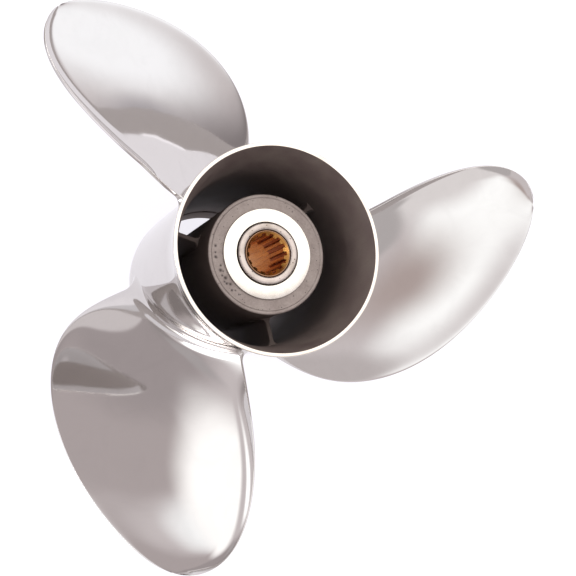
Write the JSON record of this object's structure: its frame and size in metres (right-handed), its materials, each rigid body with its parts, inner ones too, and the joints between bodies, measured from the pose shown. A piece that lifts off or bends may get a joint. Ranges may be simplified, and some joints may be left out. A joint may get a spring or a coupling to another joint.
{
  "type": "boat propeller",
  "caption": "Polished stainless outboard boat propeller with raked blades on a flared exhaust barrel, ribbed inner hub and splined rubber-bushed bore.",
  "frame": {"origin": "on the shaft axis, in the plane of the barrel's fore face, which it stands on", "axes": "+Z along the shaft axis pointing aft (up as it stands); the first blade's root points along +X"},
  "size_m": [0.3047, 0.2964, 0.146],
  "materials": {
    "polished_stainless": "mirror polished",
    "blasted_stainless": "dark, as cast and blasted",
    "cast_stainless": "matte, as cast, with a machined land",
    "bush_rubber": "moulded",
    "plated_sleeve": "turned and plated",
    "spline_brass": "broached"
  },
  "bodies": {
    "root": {"exhaust_barrel": "polished_stainless", "blade_1": "polished_stainless", "blade_2": "polished_stainless", "blade_3": "polished_stainless", "barrel_rib_1": "blasted_stainless", "barrel_rib_2": "blasted_stainless", "barrel_rib_3": "blasted_stainless", "inner_hub": "cast_stainless", "rubber_bush": "bush_rubber", "steel_sleeve": "plated_sleeve", "spline_insert": "spline_brass"}
  },
  "joints": []
}
